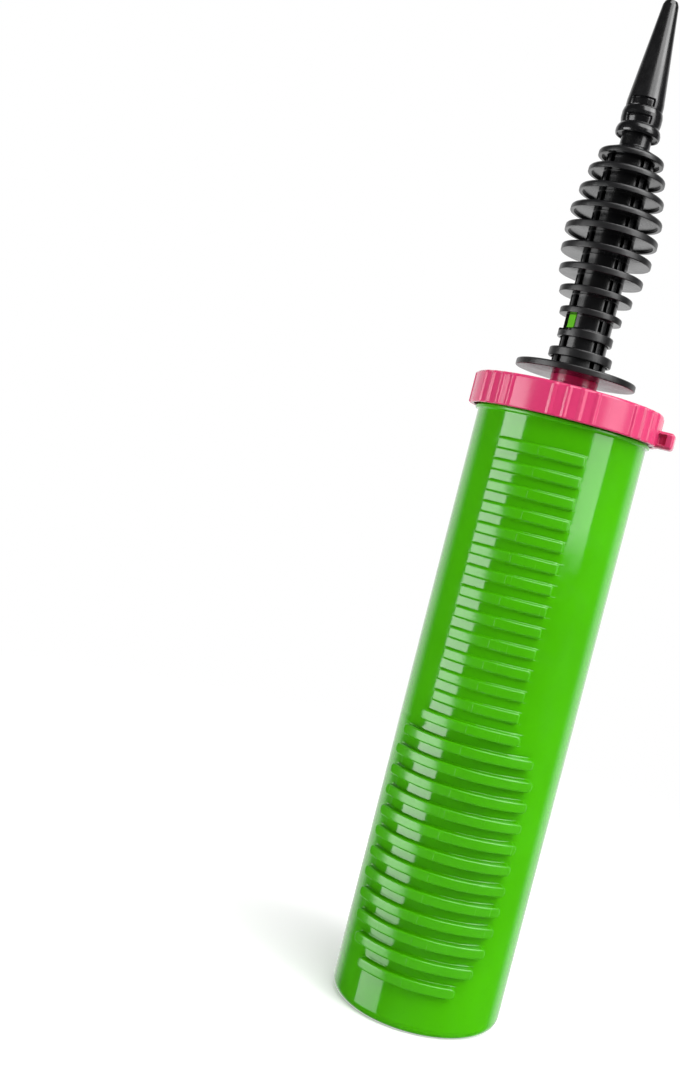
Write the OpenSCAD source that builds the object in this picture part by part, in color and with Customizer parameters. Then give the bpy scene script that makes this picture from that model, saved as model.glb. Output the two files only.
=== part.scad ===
// Hand-held double-action inflation pump with a stepped, beehive-shaped nozzle.
//
// A wide tube works as the plunger inside a closed barrel. A push drives air through the
// piston valve into the tube, and a pull squeezes the ring of air round the tube through
// the transfer ports, so both strokes send air to the nozzle.
//
// Origin: centre of the barrel's resting face. +Z runs along the pump towards the nozzle.
// The ribbed grip panels face -Y and +Y, and the collar's thumb tab points to +X.

/* [Barrel] */
// Outside radius of the barrel
barrel_r = 25.0; // [24:0.1:25.2]
// Height of the barrel's rim above the resting face
barrel_h = 181.0; // [181:0.5:190]
// Wall thickness of the barrel
barrel_wall = 2.2; // [2.1:0.05:2.3]
// Rounding of the barrel's bottom edge
bottom_round = 3.0; // [2:0.1:4]
// Depth of the hollow under the floor
foot_recess = 3.0; // [2.5:0.1:3.2]
// Thickness of the barrel's floor
floor_t = 3.0; // [2.5:0.1:3.2]

/* [Grip ribs] */
// Ribs in each grip panel
rib_count = 26; // [10:1:26]
// Distance from one rib to the next
rib_pitch = 6.02; // [5:0.02:6.1]
// Height of the lowest rib's centre
rib_low_z = 14.4; // [10:0.1:15]
// Width of a rib along the barrel
rib_w = 3.0; // [2:0.1:3.2]
// How far the narrow upper ribs stand out of the barrel
rib_out = 1.1; // [0.4:0.1:1.4]
// How far the wide lower ribs stand out of the barrel
wide_rib_out = 2.0; // [0.8:0.1:2.2]
// Half the angle that the wide lower ribs cover
wide_half_angle = 49.0; // [40:0.5:60]
// Half the angle that the narrow upper ribs cover
narrow_half_angle = 29.2; // [20:0.1:35]
// Number of ribs in the wide lower part of the panel
wide_rows = 13; // [8:1:15]

/* [Collar] */
// Outside radius of the collar
collar_r = 27.8; // [27.8:0.05:28.2]
// Height of the collar
collar_h = 9.3; // [9.2:0.1:9.6]
// Groups of grip ridges round the collar
ridge_groups = 7; // [5:1:9]
// Bayonet lugs round the barrel's rim
lug_count = 3; // [2:1:4]
// Angle that each bayonet lug covers
lug_angle = 28; // [20:1:30]

/* [Plunger] */
// Outside radius of the plunger tube
tube_r = 16.0; // [15.9:0.05:16]
// Wall thickness of the plunger tube
tube_wall = 1.6; // [1.4:0.1:1.8]
// Radial running clearance of the moving fits
running_gap = 0.05; // [0.02:0.01:0.08]
// Height of the piston's lower face with the plunger pushed home
piston_low_z = 10.0; // [9.6:0.1:11]
// Transfer ports through the plunger tube
port_count = 4; // [3:1:6]

/* [Nozzle] */
// Length of the tapered tip
cone_h = 31.7; // [28:0.1:36]
// Radius of the nozzle's bottom flange
flange_r = 17.75; // [16:0.05:19]
// Thickness of the flange and of each disc
disc_t = 1.95; // [1.6:0.05:2.2]
// Distance from one disc to the next
disc_pitch = 5.92; // [5.6:0.02:6]
// Radius of the nozzle's fluted core
core_r = 6.95; // [6.8:0.05:7.3]
// Width of the flutes in the core
flute_w = 1.5; // [1:0.1:1.8]
// Radius of the air outlet in the tip
outlet_r = 1.3; // [1:0.1:1.5]

/* [Hidden] */
$fn = 96;
eps = 0.01;

// Barrel
bore_r = barrel_r - barrel_wall;
floor_z = foot_recess + floor_t;
foot_inner_r = barrel_r - 8;
lip_r = barrel_r + 0.9;
lip_t = 1.1;

// Intake valve
stem_r = 2.0;
valve_disc_t = 1.0;
valve_lift = 0.9;
intake_disc_r = 10.0;
intake_hole_r = 1.8;
intake_hole_pcd_r = 7.0;

// Collar and gland
collar_low_z = barrel_h - 6.1;
collar_top_z = collar_low_z + collar_h;
skirt_inner_r = barrel_r + 1.6;
plate_t = 2.4;
plate_low_z = collar_top_z - plate_t;
boss_outer_r = bore_r - 0.1;
boss_inner_r = boss_outer_r - 2.7;
boss_low_z = collar_low_z - 3.8;
bush_top_z = boss_low_z + 6.6;
lug_low_z = collar_low_z + 2.4;
lug_top_z = lug_low_z + 2.2;
stop_angle = 3;
lip_top_z = collar_low_z - 0.1;

// Plunger
tube_inner_r = tube_r - tube_wall;
piston_r = bore_r - 0.3;
web_top_z = piston_low_z + 10;
web_t = 3.0;
groove_floor_r = bore_r - 2.8;
groove_low_z = piston_low_z + 3.5;
groove_w = 3.0;
seal_section_r = 1.35;
transfer_pcd_r = 18.2;
transfer_hole_r = 1.2;
retainer_low_z = web_top_z + valve_disc_t + valve_lift + 0.1;
retainer_top_z = retainer_low_z + 14;
port_z = retainer_low_z + 8.5;
port_r = 2.2;
tube_top_z = barrel_h + 0.2;
cap_top_z = collar_top_z + 0.7;
flange_low_z = collar_top_z + 4.6;
neck_r = 7.0;
neck_step_r = 7.3;
spigot_r = 5.0;
seal_groove_z = flange_low_z + 5.6;

// Nozzle: radii of the discs from the lowest to the highest
disc_radii = [9.3, 8.1, 9.15, 10.75, 12.35, 13.3, 13.66, 13.5, 12.45, 11.3, 9.6];
disc_low_z = flange_low_z + disc_pitch - 0.3;
top_disc_drop = 0.7;
flute_angles = [38, 64, 116, 142];
root_r = core_r + 1.05;
cup_discs = 2;
cup_drop = 0.7;
cup_wall = 0.9;
hollow_discs = 5;
hollow_depth = 0.7;
hollow_rim = 1.1;
edge_chamfer = 0.25;
soft_discs = 4;
window_angle = -132;
window_w = 3.2;
recess_angle = -141.5;
recess_span = 57;
recess_floor_r = 5.75;
window_low_z = disc_low_z + disc_pitch + disc_t;
window_top_z = window_low_z + disc_pitch - disc_t;
spigot_top_z = window_low_z - 1.5;
socket_r = spigot_r + running_gap;
cage_top_z = window_low_z + 7;
air_r = 3.4;
core_top_z = disc_low_z + disc_pitch * (len(disc_radii) - 1) + disc_t;
shoulder_r = 8.6;
shoulder_h = 1.8;
throat_r = 4.45;
throat_low_z = core_top_z + 1.2;
bead_low_z = core_top_z + 4.6;
bead_top_z = bead_low_z + 3.1;
bead_r = 6.55;
ring_top_z = bead_top_z + 4.7;
ring_r = 5.95;
air_top_z = bead_top_z + 3.5;
cone_low_z = ring_top_z + 0.3;
cone_low_r = 5.44;
cone_top_r = 2.33;
tip_z = cone_low_z + cone_h;
tip_round = 1.6;
pocket_span = 77;
pocket_depth = 0.7;

// Outlet valve
seat_t = 1.5;
seat_hole_r = 1.6;
outlet_disc_t = 0.8;
outlet_disc_r = 3.2;
stop_z = spigot_top_z + seat_t + outlet_disc_t + valve_lift;

// ---------------------------------------------------------------------- shared shapes

// A ring standing on height z
module ring(outer_r, inner_r, z, h) {
    translate([0, 0, z])
        difference() {
            cylinder(r = outer_r, h = h);
            translate([0, 0, -1])
                cylinder(r = inner_r, h = h + 2);
        }
}

// A round-section ring such as an O-ring
module o_ring(centre_r, section_r, z) {
    translate([0, 0, z])
        rotate_extrude()
            translate([centre_r, 0])
                circle(r = section_r);
}

// A rectangular bar bent round the axis, centred on an angle
module arc_bar(inner_r, outer_r, z, h, centre_angle, span) {
    rotate([0, 0, centre_angle - span / 2])
        rotate_extrude(angle = span)
            translate([inner_r, z])
                square([outer_r - inner_r, h]);
}

// A disc whose two rims are chamfered
module chamfered_disc(r, z, h, c) {
    rotate_extrude()
        polygon([
            [0, z], [r - c, z], [r, z + c],
            [r, z + h - c], [r - c, z + h], [0, z + h]
        ]);
}

// Holes of one size, spaced evenly round the axis
module round_holes(count, pcd_r, hole_r, z, h) {
    for (i = [0 : count - 1])
        rotate([0, 0, i * 360 / count])
            translate([pcd_r, 0, z])
                cylinder(r = hole_r, h = h);
}

// ---------------------------------------------------------------------- barrel

// Half the angle of a rib, counted from the bottom. The wide part's corners are elliptical.
function corner_cut(rows_in, rows) =
    let (u = max(0, 1 - rows_in / rows)) 1 - sqrt(1 - u * u);

function rib_half_angle(i) =
    i >= wide_rows ? narrow_half_angle
    : max(
        narrow_half_angle,
        wide_half_angle
            - 30 * corner_cut(i + 0.5, 4.5)
            - 40 * corner_cut(wide_rows - 0.5 - i, 2.5)
      );

module grip_ribs(panel_angle) {
    for (i = [0 : rib_count - 1])
        arc_bar(
            barrel_r - 0.6, barrel_r + (i < wide_rows ? wide_rib_out : rib_out),
            rib_low_z + i * rib_pitch - rib_w / 2, rib_w,
            panel_angle, 2 * rib_half_angle(i)
        );
}

module bayonet_lugs() {
    for (i = [0 : lug_count - 1])
        rotate([0, 0, i * 360 / lug_count]) {
            arc_bar(barrel_r - 0.6, barrel_r + 1.35, lug_low_z, lug_top_z - lug_low_z, 0, lug_angle);
            arc_bar(
                barrel_r - 0.6, barrel_r + 1.35,
                collar_low_z + 0.3, lug_top_z - collar_low_z - 0.3,
                -lug_angle / 2 - 1 - stop_angle / 2, stop_angle
            );
        }
}

module barrel_outside() {
    translate([0, 0, bottom_round])
        cylinder(r = barrel_r, h = barrel_h - bottom_round);
    cylinder(r = barrel_r - bottom_round, h = bottom_round + 1);
    o_ring(barrel_r - bottom_round, bottom_round, bottom_round);
    translate([0, 0, lip_top_z - lip_t])
        cylinder(r = lip_r, h = lip_t);
    grip_ribs(-90);
    grip_ribs(90);
    bayonet_lugs();
}

module barrel() {
    color([0.24, 0.70, 0.02])
        difference() {
            barrel_outside();
            translate([0, 0, floor_z])
                cylinder(r = bore_r, h = barrel_h);
            translate([0, 0, -1])
                cylinder(r = foot_inner_r, h = foot_recess + 1);
            translate([0, 0, -1])
                cylinder(r = stem_r + running_gap, h = floor_z + 2);
            round_holes(6, intake_hole_pcd_r, intake_hole_r, foot_recess - 1, floor_t + 2);
        }
}

// ---------------------------------------------------------------------- intake valve

module intake_valve_disc() {
    color([0.08, 0.08, 0.09])
        ring(intake_disc_r, stem_r + 0.1, floor_z, valve_disc_t);
}

// The stem passes through the floor and holds the disc under its head
module intake_valve_stem() {
    head_z = floor_z + valve_disc_t + valve_lift;
    color([0.90, 0.90, 0.88]) {
        translate([0, 0, foot_recess - 1.2])
            cylinder(r = stem_r + 1.5, h = 1.2);
        translate([0, 0, foot_recess - eps])
            cylinder(r = stem_r, h = head_z - foot_recess + 2 * eps);
        translate([0, 0, head_z])
            cylinder(r1 = stem_r + 2, r2 = stem_r + 1, h = 1.2);
    }
}

// ---------------------------------------------------------------------- collar

// One group of grip ridges, which run down the whole side of the collar
module ridge_group() {
    for (a = [-12.6 : 8.4 : 12.6])
        rotate([0, 0, a])
            translate([collar_r - 0.4, 0, collar_low_z + 0.2])
                cylinder(r = 0.8, h = collar_top_z - collar_low_z - 0.7);
}

// The thumb tab, with a shallow pocket in the side that faces -Y
module thumb_tab() {
    tab_out = 4.6;
    tab_w = 6.0;
    tab_h = 4.9;
    tab_z = collar_low_z - 0.1;
    pocket_in = 1.2;
    difference() {
        translate([skirt_inner_r + 0.3, -tab_w / 2, tab_z])
            cube([collar_r + tab_out - skirt_inner_r - 0.3, tab_w, tab_h]);
        translate([collar_r + 0.1, -tab_w / 2 - 1, tab_z + 0.8])
            cube([2.4, pocket_in + 1, tab_h - 1.6]);
    }
}

module collar_hooks() {
    for (i = [0 : lug_count - 1])
        arc_bar(
            barrel_r + 0.25, skirt_inner_r + 0.4,
            collar_low_z + 0.3, lug_low_z - collar_low_z - 0.5,
            i * 360 / lug_count, lug_angle
        );
}

module collar() {
    hole_r = tube_r + 0.4;
    color([0.93, 0.25, 0.47]) {
        difference() {
            union() {
                chamfered_disc(collar_r, collar_low_z, collar_top_z - collar_low_z, 0.8);
                for (i = [0 : ridge_groups - 1])
                    rotate([0, 0, (i + 0.5) * 360 / ridge_groups])
                        ridge_group();
            }
            translate([0, 0, collar_low_z - 1])
                cylinder(r = skirt_inner_r, h = plate_low_z - collar_low_z + 1);
            translate([0, 0, collar_low_z])
                cylinder(r = hole_r, h = 20);
        }
        ring(boss_outer_r, boss_inner_r, boss_low_z, plate_low_z - boss_low_z + eps);
        collar_hooks();
        thumb_tab();
    }
}

module rim_gasket() {
    color([0.10, 0.10, 0.11])
        ring(barrel_r - 0.1, boss_outer_r + 0.05, barrel_h + 0.05, plate_low_z - barrel_h - 0.05);
}

module guide_bush() {
    color([0.92, 0.92, 0.90])
        ring(boss_inner_r, tube_r + running_gap, boss_low_z, bush_top_z - boss_low_z);
}

module gland_seal() {
    section_r = 1.8;
    color([0.09, 0.09, 0.10])
        o_ring(tube_r + running_gap + section_r, section_r, bush_top_z + section_r);
}

// ---------------------------------------------------------------------- plunger

module piston_seal_ring() {
    color([0.09, 0.09, 0.10])
        o_ring(
            bore_r - running_gap - seal_section_r, seal_section_r,
            groove_low_z + groove_w / 2
        );
}

module piston_head() {
    color([0.90, 0.90, 0.88])
        difference() {
            union() {
                translate([0, 0, piston_low_z])
                    cylinder(r = piston_r, h = web_top_z - piston_low_z);
                translate([0, 0, web_top_z])
                    cylinder(r = tube_inner_r, h = 7);
            }
            translate([0, 0, piston_low_z - 1])
                cylinder(r = tube_r, h = web_top_z - piston_low_z - web_t + 1);
            translate([0, 0, web_top_z])
                cylinder(r = tube_inner_r - 1.8, h = 8);
            ring(piston_r + 1, groove_floor_r, groove_low_z, groove_w);
            round_holes(10, transfer_pcd_r, transfer_hole_r, piston_low_z - 1, 12);
        }
}

module piston_valve_disc() {
    color([0.08, 0.08, 0.09])
        ring(piston_r - 1.7, tube_r + 0.3, web_top_z, valve_disc_t);
}

// Sleeve that holds the valve disc down and stops the plunger at the guide bush
module piston_valve_retainer() {
    color([0.90, 0.90, 0.88])
        difference() {
            union() {
                translate([0, 0, retainer_low_z])
                    cylinder(r = tube_r + 4.4, h = 1.4);
                translate([0, 0, retainer_low_z])
                    cylinder(r = tube_r + 1.6, h = retainer_top_z - retainer_low_z);
            }
            translate([0, 0, retainer_low_z - 1])
                cylinder(r = tube_r, h = 20);
            port_holes(port_r + 0.4);
        }
}

module port_holes(hole_r) {
    for (i = [0 : port_count - 1])
        rotate([0, 0, i * 360 / port_count])
            translate([tube_inner_r - 3, 0, port_z])
                rotate([0, 90, 0])
                    cylinder(r = hole_r, h = 10);
}

module plunger_tube() {
    color([0.93, 0.25, 0.47])
        difference() {
            ring(tube_r, tube_inner_r, web_top_z, tube_top_z - web_top_z);
            port_holes(port_r);
        }
}

// Cap that closes the tube, with the neck and the spigot that carry the nozzle
module plunger_cap() {
    step_z = cap_top_z + 1.9;
    color([0.93, 0.25, 0.47])
        difference() {
            union() {
                translate([0, 0, tube_top_z])
                    cylinder(r = tube_r, h = cap_top_z - tube_top_z);
                translate([0, 0, tube_top_z - 7])
                    cylinder(r = tube_inner_r, h = 7 + eps);
                translate([0, 0, cap_top_z - eps])
                    cylinder(r = neck_step_r, h = step_z - cap_top_z + eps);
                translate([0, 0, step_z - eps])
                    cylinder(r = neck_r, h = flange_low_z - step_z + eps);
                translate([0, 0, flange_low_z - eps])
                    cylinder(r = spigot_r, h = spigot_top_z - flange_low_z + eps);
            }
            translate([0, 0, tube_top_z - 8])
                cylinder(r = tube_inner_r - 1.8, h = 8);
            translate([0, 0, tube_top_z - 1])
                cylinder(r = 2.2, h = 30);
            ring(spigot_r + 1, spigot_r - 1.3, seal_groove_z - 0.75, 1.5);
        }
}

module nozzle_seal() {
    section_r = 0.62;
    color([0.09, 0.09, 0.10])
        o_ring(spigot_r - section_r + 0.02, section_r, seal_groove_z);
}

// ---------------------------------------------------------------------- nozzle

// Cross-section of the core: a round bar with flutes on both sides of each flank
module core_section(r) {
    flute_depth = 1.1;
    difference() {
        circle(r = r);
        for (side = [-1, 1], a = flute_angles)
            rotate(side * a - 90)
                translate([core_r - flute_depth, -flute_w / 2])
                    square([flute_depth + 3, flute_w]);
    }
}

// The core, with a thicker root below the lowest disc
module nozzle_core() {
    translate([0, 0, flange_low_z])
        linear_extrude(height = core_top_z - flange_low_z)
            core_section(core_r);
    translate([0, 0, flange_low_z])
        linear_extrude(height = disc_pitch + disc_t / 2)
            core_section(root_r);
}

// A disc with a crisp lower edge and a top edge that is rounded over the width and height given
module soft_disc(r, z, round_w, round_h) {
    rotate_extrude()
        polygon([
            [0, z], [r - edge_chamfer, z], [r, z + edge_chamfer],
            for (a = [0 : 22.5 : 90])
                [r - round_w * (1 - cos(a)), z + disc_t - round_h * (1 - sin(a))],
            [0, z + disc_t]
        ]);
}

function disc_z(i) =
    disc_low_z + i * disc_pitch - (i == len(disc_radii) - 1 ? top_disc_drop : 0);

module nozzle_discs() {
    disc_count = len(disc_radii);
    soft_disc(flange_r, flange_low_z, 0.5, 0.5);
    for (i = [0 : disc_count - 1])
        difference() {
            if (i < disc_count - soft_discs)
                soft_disc(disc_radii[i], disc_z(i), 0.6, 0.6);
            else
                soft_disc(disc_radii[i], disc_z(i), 1.6, 1.3);
            if (i >= disc_count - hollow_discs)
                ring(
                    disc_radii[i] - hollow_rim, core_r - 0.5,
                    disc_z(i) - 1, hollow_depth + 1
                );
        }
    for (i = [0 : cup_discs - 1])
        ring(
            disc_radii[i], disc_radii[i] - cup_wall,
            disc_low_z + i * disc_pitch - cup_drop, cup_drop + disc_t / 2
        );
}

// Shoulder on the highest disc, throat, cupped bead, ring and tapered tip, as one turned outline
module nozzle_tip() {
    rotate_extrude()
        polygon([
            [0, core_top_z - 1.2], [shoulder_r, core_top_z - 1.2],
            [shoulder_r, throat_low_z - shoulder_h], [throat_r, throat_low_z],
            [throat_r, bead_low_z + 0.9],
            [bead_r - 0.8, bead_low_z + 0.6], [bead_r - 0.6, bead_low_z],
            [bead_r - 0.25, bead_low_z], [bead_r, bead_low_z + 0.4],
            [bead_r, bead_low_z + 1.3], [bead_r - 0.25, bead_low_z + 2.3],
            [ring_r - 0.25, bead_top_z], [ring_r, bead_top_z + 1.6],
            [ring_r, ring_top_z - 1.4], [ring_r - 0.3, ring_top_z - 0.2],
            [cone_low_r - 0.1, ring_top_z], [cone_low_r - 0.1, cone_low_z],
            [cone_low_r, cone_low_z + 0.3], [cone_low_r, cone_low_z + 1.8],
            [cone_top_r, tip_z - tip_round],
            for (a = [15 : 15 : 90])
                [cone_top_r - 0.9 * (1 - cos(a)), tip_z - tip_round + tip_round * sin(a)],
            [0, tip_z]
        ]);
}

// Shallow grip pockets in the front and the back of the ring and of the cone's base
module nozzle_pockets() {
    for (side = [-90, 90]) {
        arc_bar(ring_r - pocket_depth, ring_r + 1, bead_top_z + 0.1, 2.1, side, pocket_span);
        arc_bar(cone_low_r - pocket_depth, ring_r + 1, cone_low_z + 0.1, 2.2, side, pocket_span);
    }
}

// Recess in the side of the core, with the window for the valve cage's lug
module valve_window() {
    arc_bar(
        recess_floor_r, core_r + 2,
        window_low_z - 1, window_top_z - window_low_z + 1,
        recess_angle, recess_span
    );
    rotate([0, 0, window_angle])
        translate([0, -window_w / 2, window_low_z])
            cube([core_r + 1, window_w, window_top_z - window_low_z]);
}

module nozzle() {
    color([0.09, 0.09, 0.10])
        difference() {
            union() {
                nozzle_core();
                nozzle_discs();
                nozzle_tip();
            }
            translate([0, 0, flange_low_z - 1])
                cylinder(r = socket_r, h = cage_top_z - flange_low_z + 1);
            translate([0, 0, cage_top_z - 1])
                cylinder(r = air_r, h = air_top_z - cage_top_z + 1);
            translate([0, 0, air_top_z - 1])
                cylinder(r = outlet_r, h = tip_z - air_top_z + 2);
            nozzle_pockets();
            valve_window();
        }
}

// ---------------------------------------------------------------------- outlet valve

module outlet_valve_cage() {
    color([0.36, 0.72, 0.10]) {
        difference() {
            translate([0, 0, spigot_top_z])
                cylinder(r = spigot_r, h = cage_top_z - spigot_top_z);
            translate([0, 0, spigot_top_z + seat_t])
                cylinder(r = spigot_r - 1.3, h = cage_top_z);
            translate([0, 0, spigot_top_z - 1])
                cylinder(r = seat_hole_r, h = seat_t + 2);
        }
        for (i = [0 : 2])
            arc_bar(2.3, spigot_r - 0.5, stop_z, 1.1, i * 120, 40);
        rotate([0, 0, window_angle])
            translate([spigot_r - 0.5, -window_w / 2 + 0.05, window_low_z + 0.1])
                cube([
                    core_r - spigot_r - 0.1, window_w - 0.1,
                    window_top_z - window_low_z - 0.2
                ]);
    }
}

module outlet_valve_disc() {
    color([0.08, 0.08, 0.09])
        translate([0, 0, spigot_top_z + seat_t])
            cylinder(r = outlet_disc_r, h = outlet_disc_t);
}

barrel();
intake_valve_disc();
intake_valve_stem();
collar();
rim_gasket();
guide_bush();
gland_seal();
piston_seal_ring();
piston_head();
piston_valve_disc();
piston_valve_retainer();
plunger_tube();
plunger_cap();
nozzle_seal();
nozzle();
outlet_valve_cage();
outlet_valve_disc();
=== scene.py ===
"""Hand inflation pump: the looks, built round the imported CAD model, in metres and in its frame."""

import math

import bmesh
import bpy
from mathutils import Euler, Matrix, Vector


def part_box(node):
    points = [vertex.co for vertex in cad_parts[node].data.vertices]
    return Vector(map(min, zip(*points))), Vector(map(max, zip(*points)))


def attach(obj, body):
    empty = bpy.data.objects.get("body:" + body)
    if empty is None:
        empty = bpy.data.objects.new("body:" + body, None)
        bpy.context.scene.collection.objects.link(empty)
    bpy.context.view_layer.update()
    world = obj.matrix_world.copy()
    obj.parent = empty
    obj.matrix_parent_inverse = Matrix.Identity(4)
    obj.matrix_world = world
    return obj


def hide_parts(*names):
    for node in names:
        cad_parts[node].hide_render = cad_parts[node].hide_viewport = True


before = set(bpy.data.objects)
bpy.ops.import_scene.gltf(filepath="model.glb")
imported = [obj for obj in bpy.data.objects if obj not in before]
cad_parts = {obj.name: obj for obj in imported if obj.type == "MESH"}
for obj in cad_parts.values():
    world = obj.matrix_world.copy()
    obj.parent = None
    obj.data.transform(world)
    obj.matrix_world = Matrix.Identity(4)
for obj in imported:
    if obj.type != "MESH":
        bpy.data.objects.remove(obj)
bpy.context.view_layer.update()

MM = 0.001

# ---------------------------------------------------------------- sizes, in millimetres


def low_z(node):
    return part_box(node)[0].z / MM


def high_z(node):
    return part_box(node)[1].z / MM


# Barrel
BARREL_R = 25.0
BORE_R = 22.8
BARREL_TOP = high_z("barrel")
FLOOR_TOP = low_z("intake_valve_disc")
FOOT_RECESS = 3.0
FOOT_INNER_R = 17.0
FOOT_ROUND = 3.0
LIP_R = 25.9
LIP_H = 1.1
STEM_HOLE_R = 2.05
INTAKE_HOLES = 6
INTAKE_HOLE_R = 1.8
INTAKE_PITCH_R = 7.0

# Grip ribs
RIBS = 26
RIB_PITCH = 6.02
RIB_LOW_Z = 14.4
RIB_W = 3.0
RIB_OUT = 1.1
WIDE_RIB_OUT = 2.0
RIB_EDGE = 0.5
RIB_ROOT = 0.35
RIB_CORNER = 0.6
WIDE_RIB_CORNER = 1.3
WIDE_SPAN = 49.0
NARROW_SPAN = 29.2
WIDE_ROWS = 13
# The wide part's rounded corners: how many degrees they cut away, over how many rows
WIDE_FOOT_CUT = (30.0, 4.5)
WIDE_HEAD_CUT = (40.0, 2.5)

# Bayonet between the collar and the barrel's rim
LUGS = 3
LUG_SPAN = 28.0
LUG_OUTER_R = 26.35

# Collar
COLLAR_R = 27.8
COLLAR_LOW = BARREL_TOP - 6.1
COLLAR_TOP = high_z("collar")
PLATE_LOW = COLLAR_TOP - 2.4
BOSS_LOW = low_z("guide_bush")
BOSS_OUTER_R = 22.7
BOSS_INNER_R = 20.0
SKIRT_R = 26.6
GLAND_R = 16.4
RIDGE_GROUPS = 7
RIDGES = (-12.6, -4.2, 4.2, 12.6)
RIDGE_HALF_WIDTH = 2.3
RIDGE_OUT = 0.4
COLLAR_ROUND = 0.9
LUG_LOW = COLLAR_LOW + 2.4
LUG_TOP = LUG_LOW + 2.2

# Plunger
TUBE_R = 16.0
TUBE_INNER_R = 14.4
TUBE_LOW = low_z("plunger_tube")
TUBE_TOP = high_z("plunger_tube")
CAP_TOP = COLLAR_TOP + 0.7
SPIGOT_TOP = high_z("plunger_cap")
NECK_R = 7.0
NECK_STEP_R = 7.3
NECK_STEP_H = 1.9
SPIGOT_R = 5.0
SPIGOT_BORE_R = 2.2
SEAL_GROOVE_UP = 5.6
SEAL_GROOVE_H = 1.5
SEAL_GROOVE_R = 3.7
PLUG_WALL = 1.8
PLUG_DEPTH = 7.0
PORTS = 4
PORT_R = 2.2
PORT_UP = 8.5

# Nozzle
FLANGE_LOW = low_z("nozzle")
TIP_Z = high_z("nozzle")
FLANGE_R = 17.75
DISC_T = 1.95
DISC_PITCH = 5.92
DISC_LOW = FLANGE_LOW + DISC_PITCH - 0.3
TOP_DISC_DROP = 0.7
DISC_RADII = (9.3, 8.1, 9.15, 10.75, 12.35, 13.3, 13.66, 13.5, 12.45, 11.3, 9.6)
CUP_DISCS = 2
CUP_RIM = 0.9
CUP_DEPTH = 0.7
HOLLOW_DISCS = 5
HOLLOW_RIM = 1.1
HOLLOW_DEPTH = 0.7
SOFT_DISCS = 4
SOFT_EDGE = (1.2, 1.0)
CRISP_EDGE = (0.5, 0.5)
CORE_R = 6.95
ROOT_R = 8.0
FLUTE_ANGLES = (38.0, 64.0, 116.0, 142.0)
FLUTE_W = 1.5
FLUTE_FLOOR_R = 5.85
SOCKET_R = 5.05
CAGE_H = 7.0
AIR_R = 3.4
OUTLET_R = 1.3
CORE_TOP = DISC_LOW + DISC_PITCH * (len(DISC_RADII) - 1) + DISC_T
THROAT_R = 4.45
BEAD_LOW = CORE_TOP + 4.6
BEAD_TOP = BEAD_LOW + 3.1
BEAD_R = 6.55
RING_TOP = BEAD_TOP + 4.7
RING_R = 5.95
CONE_LOW = RING_TOP + 0.3
CONE_R = 5.44
POCKET_HALF_SPAN = 38.5
POCKET_DEPTH = 0.7
WINDOW_LOW = DISC_LOW + DISC_PITCH + DISC_T
WINDOW_TOP = DISC_LOW + 2 * DISC_PITCH
WINDOW_ANGLE = -132.0
WINDOW_W = 3.2
RECESS_ANGLE = -141.5
RECESS_SPAN = 57.0
RECESS_FLOOR_R = 5.75

# ---------------------------------------------------------------- mesh helpers


def rounded_outline(corners, steps=4):
    """Closed outline from corners (r, z, rounding): every corner with a rounding becomes an arc."""
    points = []
    count = len(corners)
    for k in range(count):
        here = Vector(corners[k][:2])
        back = Vector(corners[k - 1][:2]) - here
        ahead = Vector(corners[(k + 1) % count][:2]) - here
        rounding = corners[k][2]
        half_turn = back.angle(ahead) / 2
        if rounding <= 0 or half_turn > math.radians(89):
            points.append((here.x, here.y))
            continue
        reach = min(rounding / math.tan(half_turn), back.length * 0.49, ahead.length * 0.49)
        radius = reach * math.tan(half_turn)
        inward = (back.normalized() + ahead.normalized()).normalized()
        centre = here + inward * (radius / math.sin(half_turn))
        start = here + back.normalized() * reach - centre
        end = here + ahead.normalized() * reach - centre
        for s in range(steps + 1):
            arm = start.slerp(end, s / steps).normalized() * radius
            points.append((centre.x + arm.x, centre.y + arm.y))
    return points


def even_columns(count):
    """Evenly spaced angles round the axis, in degrees."""
    return [360.0 * k / count for k in range(count)]


def on_axis(r, z, angle):
    """Point in metres from a radius and a height in millimetres and an angle from +X."""
    a = math.radians(angle)
    return (r * math.cos(a) * MM, r * math.sin(a) * MM, z * MM)


def new_object(name, verts, faces):
    """Adds a mesh with all its faces turned outwards to the scene."""
    mesh = bpy.data.meshes.new(name)
    mesh.from_pydata(verts, [], faces)
    bm = bmesh.new()
    bm.from_mesh(mesh)
    bmesh.ops.recalc_face_normals(bm, faces=bm.faces)
    bm.to_mesh(mesh)
    bm.free()
    obj = bpy.data.objects.new(name, mesh)
    bpy.context.scene.collection.objects.link(obj)
    return obj


def swept_ring(name, rows, columns, place):
    """Closed surface: every row of a closed outline goes round the axis through all the columns."""
    count = len(columns)
    lines = len(rows)
    verts = [place(row, column) for row in rows for column in columns]
    faces = []
    for i in range(lines):
        for j in range(count):
            k = (i + 1) % lines
            m = (j + 1) % count
            faces.append((i * count + j, i * count + m, k * count + m, k * count + j))
    return new_object(name, verts, faces)


def turned(name, corners, columns=96, steps=4):
    """A turned part with a hole along its axis."""
    rows = rounded_outline(corners, steps)
    return swept_ring(name, rows, even_columns(columns), lambda row, angle: on_axis(row[0], row[1], angle))


def arc_block(name, inner, outer, z0, z1, centre, span, steps=10):
    """A bar bent round the axis."""
    verts = []
    faces = []
    for k in range(steps + 1):
        angle = centre - span / 2 + span * k / steps
        verts += [on_axis(r, z, angle) for r, z in ((inner, z0), (outer, z0), (outer, z1), (inner, z1))]
    for k in range(steps):
        for s in range(4):
            t = (s + 1) % 4
            faces.append((4 * k + s, 4 * k + t, 4 * k + 4 + t, 4 * k + 4 + s))
    faces += [(3, 2, 1, 0), tuple(4 * steps + s for s in range(4))]
    return new_object(name, verts, faces)


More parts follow.
